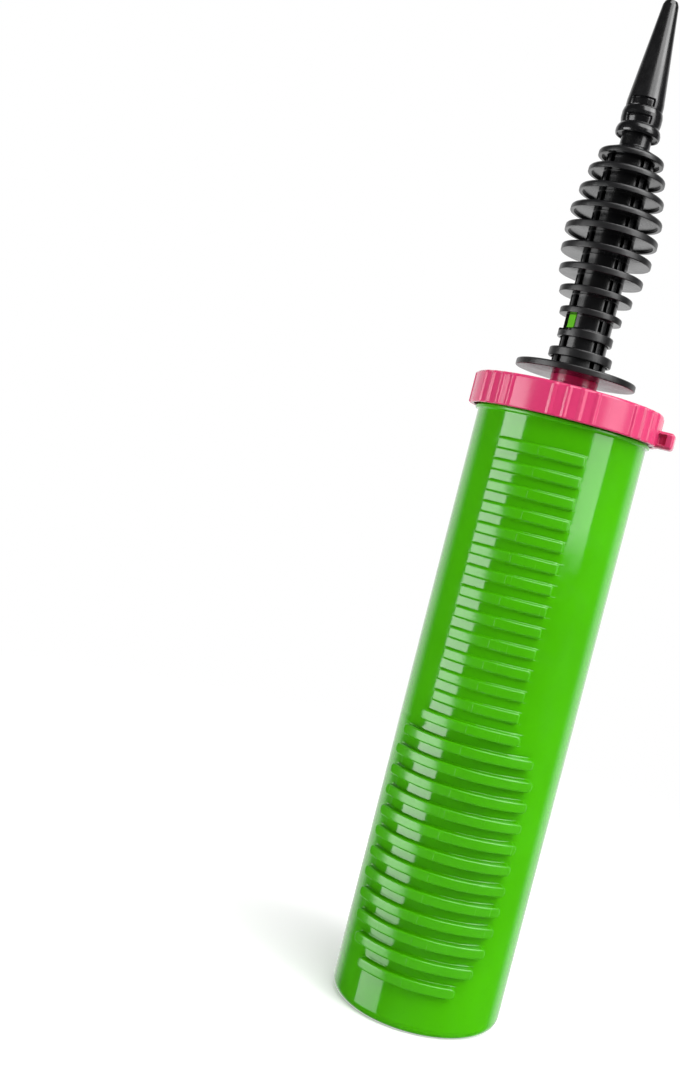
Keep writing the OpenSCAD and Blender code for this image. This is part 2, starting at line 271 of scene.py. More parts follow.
def bar(name, radius, start, end, sides=32):
    """A closed straight cylinder between two points, in millimetres: a cutter."""
    start = Vector(start)
    end = Vector(end)
    turn = (end - start).to_track_quat("Z", "Y")
    ring = [turn @ Vector((math.cos(t), math.sin(t), 0)) * radius for t in
            (2 * math.pi * k / sides for k in range(sides))]
    verts = [(start + v) * MM for v in ring] + [(end + v) * MM for v in ring]
    faces = [(k, (k + 1) % sides, sides + (k + 1) % sides, sides + k) for k in range(sides)]
    faces += [tuple(range(sides)), tuple(range(sides, 2 * sides))]
    return new_object(name, verts, faces)


def rounded_block(name, size, rounding, place, segments=3):
    """A block with rounded edges, in millimetres, moved by the matrix function place."""
    bm = bmesh.new()
    bmesh.ops.create_cube(bm, size=1.0)
    for v in bm.verts:
        v.co = Vector((v.co.x * size[0], v.co.y * size[1], v.co.z * size[2]))
    bmesh.ops.bevel(bm, geom=list(bm.edges), offset=rounding, segments=segments, profile=0.5, affect="EDGES")
    for v in bm.verts:
        v.co = place(v.co) * MM
    mesh = bpy.data.meshes.new(name)
    bmesh.ops.recalc_face_normals(bm, faces=bm.faces)
    bm.to_mesh(mesh)
    bm.free()
    obj = bpy.data.objects.new(name, mesh)
    bpy.context.scene.collection.objects.link(obj)
    return obj


def combine(target, tools, operation):
    """Adds or cuts the tools, and bakes the result into the target's own mesh."""
    for tool in tools:
        modifier = target.modifiers.new("combine", "BOOLEAN")
        modifier.operation = operation
        modifier.solver = "MANIFOLD"
        modifier.object = tool
    graph = bpy.context.evaluated_depsgraph_get()
    result = bpy.data.meshes.new_from_object(target.evaluated_get(graph))
    target.modifiers.clear()
    old = target.data
    target.data = result
    result.name = old.name
    bpy.data.meshes.remove(old)
    for tool in tools:
        bpy.data.objects.remove(tool)
    return target


def finish_piece(obj, body, material, stands_for=(), sharp_angle=32):
    """Smooth shading with true flat faces, then the material, the body and the CAD node it stands for."""
    for polygon in obj.data.polygons:
        polygon.use_smooth = True
    obj.data.set_sharp_from_angle(angle=math.radians(sharp_angle))
    obj.modifiers.new("face_weighted_normals", "WEIGHTED_NORMAL").keep_sharp = True
    obj.data.materials.clear()
    obj.data.materials.append(material)
    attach(obj, body)
    if stands_for:
        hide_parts(*stands_for)
    return obj


# ---------------------------------------------------------------- materials


class Nodes:
    """Short calls for building a shader graph."""

    def __init__(self, tree):
        self.tree = tree
        tree.nodes.clear()

    def add(self, kind, inputs=None, **settings):
        node = self.tree.nodes.new(kind)
        for key, value in settings.items():
            setattr(node, key, value)
        for key, value in (inputs or {}).items():
            if isinstance(value, bpy.types.NodeSocket):
                self.tree.links.new(value, node.inputs[key])
            else:
                node.inputs[key].default_value = value
        return node

    def noise(self, where, scale, detail=2.0, roughness=0.5):
        return self.add("ShaderNodeTexNoise", {
            "Vector": where, "Scale": scale, "Detail": detail, "Roughness": roughness}).outputs["Fac"]

    def spread(self, value, low, high, out_low, out_high):
        return self.add("ShaderNodeMapRange", {
            "Value": value, "From Min": low, "From Max": high,
            "To Min": out_low, "To Max": out_high}).outputs["Result"]

    def mix(self, factor, first, second):
        node = self.add("ShaderNodeMix", data_type="RGBA")
        for key, value in ((0, factor), (6, first), (7, second)):
            if isinstance(value, bpy.types.NodeSocket):
                self.tree.links.new(value, node.inputs[key])
            else:
                node.inputs[key].default_value = value
        return node.outputs[2]

    def math(self, operation, first, second):
        return self.add("ShaderNodeMath", {0: first, 1: second}, operation=operation).outputs[0]

    def bump(self, height, strength, distance, normal=None):
        inputs = {"Height": height, "Strength": strength, "Distance": distance}
        if normal is not None:
            inputs["Normal"] = normal
        return self.add("ShaderNodeBump", inputs).outputs["Normal"]


def shade(color, factor):
    """The colour made lighter or darker, with an alpha of 1."""
    return tuple(min(1.0, c * factor) for c in color) + (1.0,)


def satin_mask(n, where, low_mm, high_mm, flattest):
    """1 beyond a radius, where the surface is steep: its normal's height is below flattest."""
    flat = n.add("ShaderNodeVectorMath", {0: where, 1: (1.0, 1.0, 0.0)}, operation="MULTIPLY")
    radius = n.add("ShaderNodeVectorMath", {0: flat.outputs["Vector"]}, operation="LENGTH").outputs["Value"]
    beyond = n.spread(radius, low_mm * MM, high_mm * MM, 0.0, 1.0)
    facing = n.add("ShaderNodeNewGeometry").outputs["Normal"]
    height = n.add("ShaderNodeSeparateXYZ", {0: facing}).outputs["Z"]
    level = n.add("ShaderNodeMath", {0: height}, operation="ABSOLUTE").outputs[0]
    return n.math("MULTIPLY", beyond, n.spread(level, flattest, flattest + 0.1, 1.0, 0.0))


def moulded_plastic(name, color, roughness, grain_mm, grain_strength, waviness, wear,
                    translucency=0.0, satin=None, ior=1.49):
    """Moulded plastic: slight flow tone, fine grain, faint handling marks and paler worn edges.

    satin is (low radius, full radius, steepness limit, extra roughness) of the areas with a satin texture.
    """
    material = bpy.data.materials.new(name)
    material.use_nodes = True
    n = Nodes(material.node_tree)
    where = n.add("ShaderNodeTexCoord").outputs["Object"]
    grain_scale = 1.0 / (grain_mm * MM)

    flow = n.noise(where, 38.0, 3.0, 0.55)
    tone = n.mix(n.spread(flow, 0.3, 0.7, 0.0, 1.0), shade(color, 0.93), shade(color, 1.05))
    speck = n.noise(where, grain_scale * 0.5, 1.0)
    tone = n.mix(n.spread(speck, 0.62, 0.72, 0.0, 0.12), tone, shade(color, 0.7))

    edge = n.add("ShaderNodeNewGeometry").outputs["Pointiness"]
    edge_mask = n.spread(edge, 0.515, 0.60, 0.0, 1.0)
    patchy = n.spread(n.noise(where, 420.0, 3.0), 0.42, 0.62, 0.25, 1.0)
    worn = n.math("MULTIPLY", n.math("MULTIPLY", edge_mask, patchy), wear)
    pale = tuple(0.55 * c + 0.45 * (0.35 + 0.4 * max(color)) for c in color) + (1.0,)
    tone = n.mix(worn, tone, pale)

    streaks = n.add("ShaderNodeMapping", {"Vector": where, "Scale": (2600.0, 2600.0, 60.0)}).outputs[0]
    marks = n.spread(n.noise(streaks, 1.0, 2.0), 0.60, 0.75, 0.0, 0.05)
    handling = n.spread(n.noise(where, 130.0, 4.0, 0.6), 0.35, 0.7, -0.03, 0.05)
    rough = n.math("ADD", n.math("ADD", handling, marks), roughness)

    strength = grain_strength
    if satin:
        mask = satin_mask(n, where, *satin[:3])
        rough = n.math("ADD", rough, n.math("MULTIPLY", mask, satin[3]))
        strength = n.spread(mask, 0.0, 1.0, grain_strength * 0.25, grain_strength)

    peel = n.noise(where, 240.0, 2.0)
    normal = n.bump(peel, 0.35, waviness * MM)
    normal = n.bump(n.noise(where, grain_scale, 3.0, 0.6), strength, 0.02 * MM, normal)

    surface = n.add("ShaderNodeBsdfPrincipled", {
        "Base Color": tone, "Roughness": rough, "IOR": ior, "Normal": normal,
        "Subsurface Weight": translucency, "Subsurface Radius": (0.6, 1.0, 0.4),
        "Subsurface Scale": 1.2 * MM})
    output = n.add("ShaderNodeOutputMaterial")
    n.tree.links.new(surface.outputs["BSDF"], output.inputs["Surface"])
    return material


GREEN = (0.050, 0.340, 0.0005)
PINK = (0.580, 0.038, 0.135)
# Painted shade: the collar's pink made deeper and more saturated, for the neck's look in the shade under the
# nozzle's flange. The real plunger is the collar's pink.
SHADE_DEEPENED_PINK = (0.640, 0.022, 0.125)
BLACK = (0.005, 0.005, 0.0055)
CAGE_GREEN = (0.130, 0.520, 0.020)
NATURAL = (0.780, 0.780, 0.740)
RUBBER = (0.018, 0.018, 0.020)

BARREL_PLASTIC = moulded_plastic("barrel_green", GREEN, 0.09, 0.5, 0.30, 0.008, 0.12, 0.06,
                                 (25.2, 25.5, 0.9, 0.13))
COLLAR_PLASTIC = moulded_plastic("collar_pink", PINK, 0.22, 0.4, 0.15, 0.012, 0.30, 0.08)
PLUNGER_PLASTIC = moulded_plastic("plunger_pink", SHADE_DEEPENED_PINK, 0.20, 0.4, 0.12, 0.010, 0.20, 0.08)
NOZZLE_PLASTIC = moulded_plastic("nozzle_black", BLACK, 0.22, 0.20, 0.60, 0.012, 0.10, 0.0,
                                 (7.3, 7.5, 0.6, 0.14), 1.55)
CAGE_PLASTIC = moulded_plastic("cage_green", CAGE_GREEN, 0.25, 0.4, 0.15, 0.010, 0.15, 0.05)
WHITE_PLASTIC = moulded_plastic("white_plastic", NATURAL, 0.42, 0.3, 0.30, 0.010, 0.10, 0.05)
SEAL_RUBBER = moulded_plastic("seal_rubber", RUBBER, 0.55, 0.15, 0.60, 0.010, 0.20)
VALVE_RUBBER = moulded_plastic("valve_rubber", RUBBER, 0.60, 0.12, 0.70, 0.008, 0.15)

# ---------------------------------------------------------------- barrel


def corner_cut(rows_in, cut):
    """Degrees that an elliptical corner cuts away from a rib this many rows inside the wide part."""
    degrees, rows = cut
    u = max(0.0, 1.0 - rows_in / rows)
    return degrees * (1.0 - math.sqrt(1.0 - u * u))


def rib_half_angle(i):
    """Half the angle that rib i covers, counted from the bottom."""
    if i >= WIDE_ROWS:
        return NARROW_SPAN
    cut = corner_cut(i + 0.5, WIDE_FOOT_CUT) + corner_cut(WIDE_ROWS - 0.5 - i, WIDE_HEAD_CUT)
    return max(NARROW_SPAN, WIDE_SPAN - cut)


def rib_corner(i):
    """Radius of the corners of rib i, seen from the front."""
    return WIDE_RIB_CORNER if i < WIDE_ROWS else RIB_CORNER


def rib_end(i, from_middle):
    """Half angle of rib i's outline, with its rounded corners, at a height from the rib's middle."""
    corner = rib_corner(i)
    u = min(max((from_middle - RIB_W / 2) / corner + 1.0, 0.0), 1.0)
    return rib_half_angle(i) - math.degrees(corner * (1.0 - math.sqrt(1.0 - u * u)) / BARREL_R)


def rib_outline(z):
    """At height z: the rib's half angle with its rounded corners and without them, and the corner's size.

    In the gap between two ribs, the values turn smoothly from one rib's into the next one's.
    """
    place = min(max((z - RIB_LOW_Z) / RIB_PITCH, 0.0), RIBS - 1.0)
    i = min(int(place), RIBS - 2)
    below = z - RIB_LOW_Z - i * RIB_PITCH
    above = RIB_PITCH - below
    t = min(max((below - RIB_W / 2) / (RIB_PITCH - RIB_W), 0.0), 1.0)
    t = t * t * (3 - 2 * t)
    full = rib_half_angle(i) * (1 - t) + rib_half_angle(i + 1) * t
    corner = rib_corner(i) * (1 - t) + rib_corner(i + 1) * t
    if abs(below) <= RIB_W / 2:
        return rib_end(i, abs(below)), full, corner
    if abs(above) <= RIB_W / 2:
        return rib_end(i + 1, abs(above)), full, corner
    return rib_end(i, RIB_W / 2) * (1 - t) + rib_end(i + 1, RIB_W / 2) * t, full, corner


def rib_profile(inside, out):
    """Height of a rib at a distance inside its outline: a root curve, a steep flank, a rounded edge."""
    if inside <= -RIB_ROOT:
        return 0.0
    if inside <= 0:
        return 0.3 * (1 + inside / RIB_ROOT) ** 2
    u = 1.0 - min(inside / RIB_EDGE, 1.0)
    return out - RIB_EDGE + RIB_EDGE * math.sqrt(1.0 - u * u)


def rib_height(z, off_angle):
    """How far the surface stands out at height z and at an angle from the grip panel's middle."""
    i = min(max(round((z - RIB_LOW_Z) / RIB_PITCH), 0), RIBS - 1)
    corner = rib_corner(i)
    along = math.radians(abs(off_angle) - rib_half_angle(i)) * BARREL_R + corner
    across = abs(z - RIB_LOW_Z - i * RIB_PITCH) - RIB_W / 2 + corner
    inside = corner - math.hypot(max(along, 0.0), max(across, 0.0)) - min(max(along, across), 0.0)
    height = rib_profile(inside, WIDE_RIB_OUT if i < WIDE_ROWS else RIB_OUT)
    tick = math.exp(-((math.radians(off_angle) * BARREL_R / 0.16) ** 2))
    return height + 0.07 * tick * min(max(inside / RIB_EDGE, 0.0), 1.0)


# Distances inside a rib's outline that get their own rows and columns of vertices
EDGE_STEPS = (-0.5, -0.35, -0.2, -0.09, -0.005, 0.005, 0.03, 0.09, 0.19, 0.33, 0.52)


def barrel_columns():
    """Columns bunch up at the rib ends, wherever a row's ribs end: (panel angle, sign, kind, value)."""
    quarter = [("fixed", v) for v in (0.0, 0.25, 0.5, 0.9)]
    quarter += [("fixed", 1.6 + 18.4 * k / 11) for k in range(12)]
    quarter += [("wide part", k / 8) for k in range(1, 9)]
    quarter += [("end", d) for d in (1.6, 1.2, 0.85) + tuple(reversed(EDGE_STEPS))]
    quarter += [("side", k / 20) for k in range(21)]
    columns = []
    for panel in (-90.0, 90.0):
        columns += [(panel, -1, kind, value) for kind, value in reversed(quarter[1:])]
        columns += [(panel, 1, kind, value) for kind, value in quarter[:-1]]
    return columns


def column_angle(column, z):
    """Angle from the middle of the grip panel, in degrees."""
    _, sign, kind, value = column
    span, full, corner = rib_outline(z)
    if kind == "fixed":
        return sign * value
    if kind == "wide part":
        reach = full - math.degrees((corner + 1.6) / BARREL_R) - 0.3
        return sign * (20.0 + (reach - 20.0) * value)
    if kind == "end":
        return sign * (span - math.degrees(value / BARREL_R))
    return sign * (full + 1.6 + (90.0 - full - 1.6) * value)


def barrel_rows():
    """Closed outline as (r, z, is outer wall)."""
    rows = [(r, z, False) for r, z in rounded_outline([
        (BORE_R, BARREL_TOP - 5, 0.0), (BORE_R, FLOOR_TOP, 0.8), (STEM_HOLE_R, FLOOR_TOP, 0.2),
        (STEM_HOLE_R, FOOT_RECESS, 0.2), (FOOT_INNER_R, FOOT_RECESS, 0.8), (FOOT_INNER_R, 0.0, 0.4),
        (BARREL_R - FOOT_ROUND, 0.0, 0.0)])]
    for k in range(1, 9):
        a = math.radians(90.0 * k / 8)
        r = BARREL_R - FOOT_ROUND + FOOT_ROUND * math.sin(a)
        rows.append((r, FOOT_ROUND - FOOT_ROUND * math.cos(a), False))
    inset = EDGE_STEPS + (0.85,)
    half = RIB_W / 2
    for i in range(RIBS):
        middle = RIB_LOW_Z + i * RIB_PITCH
        steps = [-half + d for d in inset] + [0.0] + [half - d for d in reversed(inset)] + [RIB_PITCH / 2]
        rows += [(BARREL_R, middle + s, True) for s in steps]
    lip_top = COLLAR_LOW - 0.1
    lip = rounded_outline([
        (BARREL_R, lip_top - LIP_H - 1, 0.0), (BARREL_R, lip_top - LIP_H, 0.25),
        (LIP_R, lip_top - LIP_H, 0.4), (LIP_R, lip_top, 0.3), (BARREL_R, lip_top, 0.2),
        (BARREL_R, BARREL_TOP, 0.4), (BORE_R, BARREL_TOP, 0.5), (BORE_R, BARREL_TOP - 5, 0.0)])
    rows += [(r, z, False) for r, z in lip[:-1]]
    return rows


def place_barrel(row, column):
    """Vertex where a row meets a column: the outer wall carries the ribs."""
    r, z, is_wall = row
    off = column_angle(column, z)
    if is_wall:
        r += rib_height(z, off)
    return on_axis(r, z, column[0] + off)


def build_barrel():
    """The shell with its ribs, then the bayonet lugs and their stops, then the intake holes."""
    shell = swept_ring("barrel_shell", barrel_rows(), barrel_columns(), place_barrel)
    lugs = []
    for k in range(LUGS):
        middle = 360 * k / LUGS
        lugs.append(arc_block(f"lug_{k}", BARREL_R - 0.6, LUG_OUTER_R, LUG_LOW, LUG_TOP, middle, LUG_SPAN))
        lugs.append(arc_block(f"stop_{k}", BARREL_R - 0.6, LUG_OUTER_R, COLLAR_LOW + 0.3, LUG_TOP,
                              middle - LUG_SPAN / 2 - 2.5, 3.0))
    combine(shell, lugs, "UNION")
    holes = []
    for k in range(INTAKE_HOLES):
        a = 2 * math.pi * k / INTAKE_HOLES
        x = INTAKE_PITCH_R * math.cos(a)
        y = INTAKE_PITCH_R * math.sin(a)
        holes.append(bar(f"hole_{k}", INTAKE_HOLE_R, (x, y, FOOT_RECESS - 1), (x, y, FLOOR_TOP + 1)))
    combine(shell, holes, "DIFFERENCE")
    finish_piece(shell, "barrel_body", BARREL_PLASTIC, ("barrel",))


# ---------------------------------------------------------------- collar


def collar_columns():
    """Angles that bunch up at the grip ridges."""
    angles = []
    turn = 360 / RIDGE_GROUPS
    for g in range(RIDGE_GROUPS):
        middle = (g + 0.5) * turn
        for off in RIDGES:
            angles += [middle + off + RIDGE_HALF_WIDTH * k / 7 for k in range(-7, 8)]
        gap = turn - 2 * (RIDGES[-1] + RIDGE_HALF_WIDTH)
        angles += [middle + RIDGES[-1] + RIDGE_HALF_WIDTH + gap * k / 9 for k in range(1, 9)]
        angles += [middle + off for off in (-9.3, -7.5, -0.9, 0.9, 7.5, 9.3)]
    return sorted(a % 360 for a in angles)


def place_collar(row, angle):
    """Grip ridges: smooth bumps down the collar's side that fade out over its rounded edges."""
    r, z = row
    turn = 360 / RIDGE_GROUPS
    off = (angle % turn) - turn / 2
    lift = sum(math.cos(math.pi / 2 * min(abs(off - mid) / RIDGE_HALF_WIDTH, 1.0)) ** 2 for mid in RIDGES)
    fade = min(max((r - COLLAR_R + COLLAR_ROUND) / COLLAR_ROUND, 0.0), 1.0)
    return on_axis(r + RIDGE_OUT * lift * fade, z, angle)


def build_collar():
    """The ring with its ridges, then the thumb tab with its pocket, and the bayonet hooks inside."""
    rows = rounded_outline([
        (COLLAR_R, COLLAR_TOP, COLLAR_ROUND), (GLAND_R, COLLAR_TOP, 0.5), (GLAND_R, PLATE_LOW, 0.2),
        (BOSS_INNER_R, PLATE_LOW, 0.2), (BOSS_INNER_R, BOSS_LOW, 0.3), (BOSS_OUTER_R, BOSS_LOW, 0.5),
        (BOSS_OUTER_R, PLATE_LOW, 0.2), (SKIRT_R, PLATE_LOW, 0.3), (SKIRT_R, COLLAR_LOW, 0.25),
        (COLLAR_R, COLLAR_LOW, 0.45)], 6)
    ring = swept_ring("collar_ring_shell", rows, collar_columns(), place_collar)

    tab_mid = Vector((COLLAR_R + 1.6, 0.0, COLLAR_LOW + 2.35))
    tab = rounded_block("tab", (6.0, 6.0, 4.9), 1.0, lambda v: v + tab_mid, 5)
    pocket_mid = Vector((COLLAR_R + 1.3, -3.3, COLLAR_LOW + 2.35))
    pocket = rounded_block("pocket", (2.4, 3.0, 3.3), 0.45, lambda v: v + pocket_mid, 4)
    combine(tab, [pocket], "DIFFERENCE")
    inside = bar("inside", SKIRT_R + 0.3, (0, 0, COLLAR_LOW - 3), (0, 0, PLATE_LOW), 128)
    combine(tab, [inside], "DIFFERENCE")
    hooks = [arc_block(f"hook_{k}", BARREL_R + 0.25, SKIRT_R + 0.4, COLLAR_LOW + 0.3, LUG_LOW - 0.2,
                       360 * k / LUGS, LUG_SPAN) for k in range(LUGS)]
    combine(ring, [tab] + hooks, "UNION")
    finish_piece(ring, "collar_ring", COLLAR_PLASTIC, ("collar",))


# ---------------------------------------------------------------- plunger


def build_plunger():
    """The cap with its neck, spigot and seal groove, and the tube with its transfer ports."""
    step = CAP_TOP + NECK_STEP_H
    groove_low = FLANGE_LOW + SEAL_GROOVE_UP - SEAL_GROOVE_H / 2
    groove_top = groove_low + SEAL_GROOVE_H
    plug_r = TUBE_INNER_R - PLUG_WALL
    plug_low = TUBE_TOP - PLUG_DEPTH
    cap = turned("plunger_cap_shell", [
        (TUBE_R, TUBE_TOP, 0.1), (TUBE_R, CAP_TOP, 0.7), (NECK_STEP_R, CAP_TOP, 0.4),
        (NECK_STEP_R, step, 0.3), (NECK_R, step, 0.1), (NECK_R, FLANGE_LOW, 0.05),
        (SPIGOT_R, FLANGE_LOW, 0.1), (SPIGOT_R, groove_low, 0.1), (SEAL_GROOVE_R, groove_low, 0.1),
        (SEAL_GROOVE_R, groove_top, 0.1), (SPIGOT_R, groove_top, 0.1), (SPIGOT_R, SPIGOT_TOP, 0.4),
        (SPIGOT_BORE_R, SPIGOT_TOP, 0.2), (SPIGOT_BORE_R, TUBE_TOP, 0.2), (plug_r, TUBE_TOP, 0.3),
        (plug_r, plug_low, 0.3), (TUBE_INNER_R, plug_low, 0.4), (TUBE_INNER_R, TUBE_TOP, 0.05)])
    finish_piece(cap, "plunger", PLUNGER_PLASTIC, ("plunger_cap",))

    tube = turned("plunger_tube_shell", [
        (TUBE_R, TUBE_LOW, 0.2), (TUBE_R, TUBE_TOP, 0.15), (TUBE_INNER_R, TUBE_TOP, 0.1),
        (TUBE_INNER_R, TUBE_LOW, 0.2)], 128)
    port_z = low_z("piston_valve_retainer") + PORT_UP
    ports = []
    for k in range(PORTS):
        a = 2 * math.pi * k / PORTS
        ends = [(r * math.cos(a), r * math.sin(a), port_z) for r in (TUBE_INNER_R - 2, TUBE_R + 2)]
        ports.append(bar(f"port_{k}", PORT_R, *ends))
    combine(tube, ports, "DIFFERENCE")
    finish_piece(tube, "plunger", PLUNGER_PLASTIC, ("plunger_tube",))


# ---------------------------------------------------------------- nozzle


def disc_z(i):
    """Height of disc i's lower face."""
    return DISC_LOW + i * DISC_PITCH - (TOP_DISC_DROP if i == len(DISC_RADII) - 1 else 0.0)


def soft_edge(r, top, width, height):
    """Top edge of a disc, rounded over a width and a height."""
    turns = [math.radians(15.0 * k) for k in range(7)]
    return [(r - width * (1 - math.cos(a)), top - height * (1 - math.sin(a)), 0.0) for a in turns]


def disc_corners(i):
    """Outline of disc i outside the core, going up: the lowest have a cupped rim, the highest a hollow."""
    r = DISC_RADII[i]
    z = disc_z(i)
    root = ROOT_R if i == 0 else CORE_R
    if i < CUP_DISCS:
        cup_r = r - CUP_RIM
        cup_low = z - CUP_DEPTH
        under = [(root, z, 0.15), (cup_r, z, 0.1), (cup_r, cup_low, 0.15), (r, cup_low, 0.3)]
    elif i >= len(DISC_RADII) - HOLLOW_DISCS:
        rim_r = r - HOLLOW_RIM
        ceiling = z + HOLLOW_DEPTH
        under = [(root, ceiling, 0.2), (rim_r - 0.25, ceiling, 0.0), (rim_r, ceiling, 0.2),
                 (rim_r, z, 0.15), (rim_r + 0.2, z, 0.0), (r - 0.3, z, 0.0), (r, z, 0.25)]
    else:
        under = [(root, z, 0.2), (r, z, 0.25)]
    edge = SOFT_EDGE if i >= len(DISC_RADII) - SOFT_DISCS else CRISP_EDGE
    return under + soft_edge(r, z + DISC_T, *edge)


def tip_corners():
    """Outline above the highest disc: shoulder, throat, bead, ring and cone, then the air passage."""
    passage = BEAD_TOP + 3.5
    cage_top = WINDOW_LOW + CAGE_H
    return [
        (8.5, CORE_TOP - 0.62, 0.5), (THROAT_R, CORE_TOP + 1.2, 0.5), (THROAT_R, BEAD_LOW + 0.9, 0.3),
        (BEAD_R - 0.8, BEAD_LOW + 0.6, 0.2), (BEAD_R - 0.6, BEAD_LOW, 0.15), (BEAD_R - 0.2, BEAD_LOW, 0.15),
        (BEAD_R, BEAD_LOW + 0.6, 0.4), (BEAD_R, BEAD_LOW + 1.4, 0.8), (BEAD_R - 0.25, BEAD_LOW + 2.3, 0.7),
        (RING_R - 0.27, BEAD_TOP, 0.25), (RING_R, BEAD_TOP + 1.6, 1.5), (RING_R, RING_TOP - 1.4, 1.2),
        (RING_R - 0.25, RING_TOP - 0.2, 0.5), (CONE_R - 0.1, RING_TOP + 0.1, 0.1),
        (CONE_R, CONE_LOW + 0.3, 0.2), (CONE_R, CONE_LOW + 1.8, 1.2), (2.33, TIP_Z - 1.2, 0.9),
        (1.85, TIP_Z, 0.6), (OUTLET_R, TIP_Z, 0.25), (OUTLET_R, passage, 0.2), (AIR_R, passage, 0.3),
        (AIR_R, cage_top, 0.2), (SOCKET_R, cage_top, 0.2)]


def nozzle_corners():
    """The nozzle's whole outline: flange, discs and tip."""
    corners = [(SOCKET_R, FLANGE_LOW, 0.2), (FLANGE_R, FLANGE_LOW, 0.3)]
    corners += soft_edge(FLANGE_R, FLANGE_LOW + DISC_T, *CRISP_EDGE)
    corners.append((ROOT_R, FLANGE_LOW + DISC_T, 0.25))
    for i in range(len(DISC_RADII)):
        corners += disc_corners(i)
        if i < len(DISC_RADII) - 1:
            corners.append((CORE_R, disc_z(i) + DISC_T, 0.25))
    return corners + tip_corners()


def flutes():
    """Angles of the grooves down the core."""
    return [side * a - 90 for side in (-1, 1) for a in FLUTE_ANGLES]


def off_angle(angle, middle):
    """Unsigned angle between two directions, in degrees."""
    return abs((angle - middle + 180) % 360 - 180)


def nozzle_columns():
    """Even columns, with extra ones at the flanks of the flutes and of the pockets."""
    special = []
    for middle in flutes():
        for r in (CORE_R, ROOT_R):
            half = math.degrees(FLUTE_W / 2 / r)
            special += [middle + side * half * k for side in (-1, 1) for k in (1.0, 0.97)]
    for middle in (-90.0, 90.0):
        special += [middle + side * (POCKET_HALF_SPAN + d)
                    for side in (-1, 1) for d in (-0.6, -0.1, 0.1, 0.6)]
    special = sorted({round(a % 360, 3) for a in special})
    kept = [a for a in even_columns(120) if min(off_angle(a, s) for s in special) > 0.7]
    return sorted(special + kept)


def in_flute(r, angle):
    """True where the core's surface is cut back to a flute's floor."""
    half = math.degrees(FLUTE_W / 2 / r)
    return any(off_angle(angle, middle) <= half * 0.98 for middle in flutes())


def pocket_cut(z, angle, low, high):
    """Depth of a grip pocket's floor below the surface, with slightly sloping sides."""
    off = min(off_angle(angle, -90.0), off_angle(angle, 90.0))
    side = min(max((POCKET_HALF_SPAN - off) / 1.0 + 0.5, 0.0), 1.0)
    depth = min(max(min(z - low, high - z) / 0.2 + 0.5, 0.0), 1.0)
    return POCKET_DEPTH * side * depth


def nozzle_bays():
    """The fluted stretches of the core, between one disc and the next: (core radius, low, high)."""
    bays = []
    low = FLANGE_LOW + DISC_T
    for i in range(len(DISC_RADII)):
        hollow = HOLLOW_DEPTH if i >= len(DISC_RADII) - HOLLOW_DISCS else 0.0
        bays.append((CORE_R if i else ROOT_R, low + 0.3, disc_z(i) + hollow - 0.25))
        low = disc_z(i) + DISC_T
    return bays


def nozzle_rows(pockets):
    """The outline, with extra points at the ends of the flutes and at the edges of the pockets."""
    outline = rounded_outline(nozzle_corners(), 4)
    rows = []
    for k, (r, z) in enumerate(outline):
        rows.append((r, z))
        r2, z2 = outline[(k + 1) % len(outline)]
        extra = []
        for bay_r, low, high in nozzle_bays():
            if abs(r - bay_r) < 0.02 and abs(r2 - bay_r) < 0.02 and z < low and z2 > high:
                extra += [low, low + 0.02, high - 0.02, high]
        if r > 5.0 and z > BEAD_TOP - 0.5:
            extra += [v + d for pocket in pockets for v in pocket for d in (-0.12, 0.12)]
        for v in sorted(extra):
            if z + 0.01 < v < z2 - 0.01:
                rows.append((r + (r2 - r) * (v - z) / (z2 - z), v))
    return rows


def build_nozzle():
    """Flange, discs, fluted core and tip, then the green cage's window and the recess beside it."""
    bays = nozzle_bays()
    pockets = [(BEAD_TOP + 0.1, BEAD_TOP + 2.2), (CONE_LOW + 0.1, CONE_LOW + 2.3)]

    def place(row, angle):
        r, z = row
        for bay_r, low, high in bays:
            if abs(r - bay_r) < 0.02 and low + 0.01 < z < high - 0.01 and in_flute(r, angle):
                r = FLUTE_FLOOR_R
        if r > 5.0 and z > BEAD_TOP - 0.5:
            r -= sum(pocket_cut(z, angle, low, high) for low, high in pockets)
        return on_axis(r, z, angle)

    body = swept_ring("nozzle_body", nozzle_rows(pockets), nozzle_columns(), place)
    recess = arc_block("recess", RECESS_FLOOR_R, CORE_R + 2, WINDOW_LOW - 1, WINDOW_TOP - 0.02,
                       RECESS_ANGLE, RECESS_SPAN, 16)
    turn = Euler((0, 0, math.radians(WINDOW_ANGLE))).to_matrix()
    window_mid = Vector((6.0, 0, (WINDOW_LOW + WINDOW_TOP) / 2))
    window = rounded_block("window", (4.4, WINDOW_W, WINDOW_TOP - WINDOW_LOW), 0.2,
                           lambda v: turn @ (v + window_mid))
    combine(body, [recess, window], "DIFFERENCE")
    finish_piece(body, "plunger", NOZZLE_PLASTIC, ("nozzle",))


# ---------------------------------------------------------------- carried-over CAD nodes

CAD_MATERIALS = {
    "intake_valve_disc": VALVE_RUBBER, "piston_valve_disc": VALVE_RUBBER, "outlet_valve_disc": VALVE_RUBBER,
    "rim_gasket": SEAL_RUBBER, "gland_seal": SEAL_RUBBER, "piston_seal_ring": SEAL_RUBBER,
    "nozzle_seal": SEAL_RUBBER, "guide_bush": WHITE_PLASTIC, "piston_head": WHITE_PLASTIC,
    "piston_valve_retainer": WHITE_PLASTIC, "intake_valve_stem": WHITE_PLASTIC,
    "outlet_valve_cage": CAGE_PLASTIC,
}


def dress_cad_nodes():
    """Puts materials on the CAD nodes that keep their own mesh."""
    for name, material in CAD_MATERIALS.items():
        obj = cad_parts[name]
        obj.data.materials.clear()
        obj.data.materials.append(material)


build_barrel()
build_collar()
build_plunger()
build_nozzle()
dress_cad_nodes()

# ---------------------------------------------------------------- floor, light and camera

CAMERA_AZIMUTH = 10.0
CAMERA_DISTANCE = 0.3719
CAMERA_HEIGHT = 0.1483
CAMERA_TURN = (87.86, -14.33, 13.97)
CAMERA_LENS = 42.47
CAMERA_SHIFT = -0.1056


